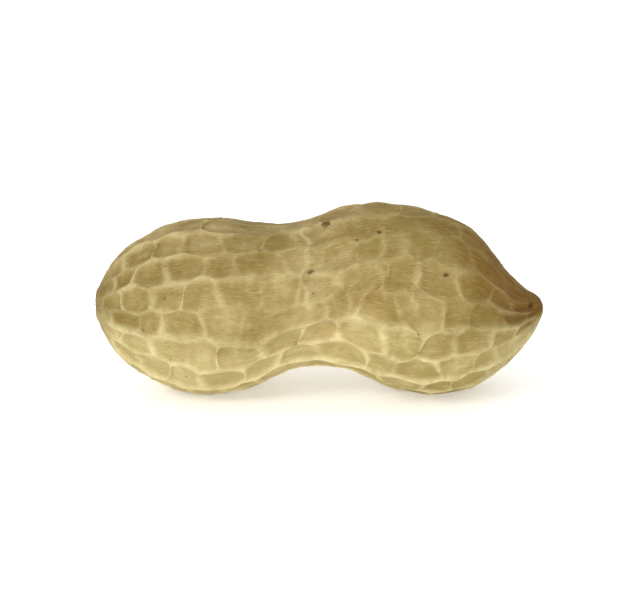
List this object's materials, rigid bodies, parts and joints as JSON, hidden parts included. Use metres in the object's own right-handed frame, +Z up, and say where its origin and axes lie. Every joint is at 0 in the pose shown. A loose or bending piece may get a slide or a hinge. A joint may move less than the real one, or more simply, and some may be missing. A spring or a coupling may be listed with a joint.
{
  "type": "peanut",
  "caption": "Dry peanut pod with two rounded lobes, a narrow waist, a short beak and a net of raised veins, lying on its side.",
  "frame": {"origin": "on the surface the pod rests on, below the middle of its outer box", "axes": "+Z up, +X along the pod from the stem scar to the beak, -Y the side that faces the viewer"},
  "size_m": [0.04, 0.0164, 0.0173],
  "materials": {
    "shell": "matte"
  },
  "bodies": {
    "root": {"pod": "shell"}
  },
  "joints": []
}
